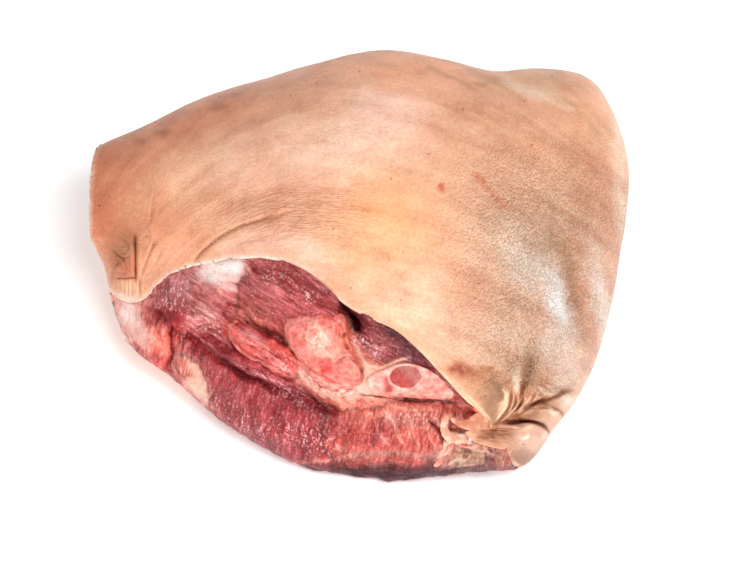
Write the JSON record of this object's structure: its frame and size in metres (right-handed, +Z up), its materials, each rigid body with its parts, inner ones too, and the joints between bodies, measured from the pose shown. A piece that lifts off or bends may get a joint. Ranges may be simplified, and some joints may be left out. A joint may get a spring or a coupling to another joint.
{
  "type": "pork shoulder",
  "caption": "Raw bone-in shoulder of pork with its rind on, lying rind up, its cut face showing muscles, the blade's joint end and a sawn marrow bone.",
  "frame": {"origin": "under the middle of the shoulder's box, on the table it lies on", "axes": "+X from the sawn shank to the thick end, along the longest side; +Y away from the cut face; +Z up, out of the table, along the shortest side"},
  "size_m": [0.3346, 0.3175, 0.1494],
  "materials": {
    "rind": "moist satin pig skin, warm tan to pink cream, meat red on the cut face",
    "bone": "wet raw bone and cartilage, cream pink with red marrow"
  },
  "bodies": {
    "root": {"shoulder": "rind", "joint_bone": "bone", "sawn_bone": "bone"}
  },
  "joints": []
}
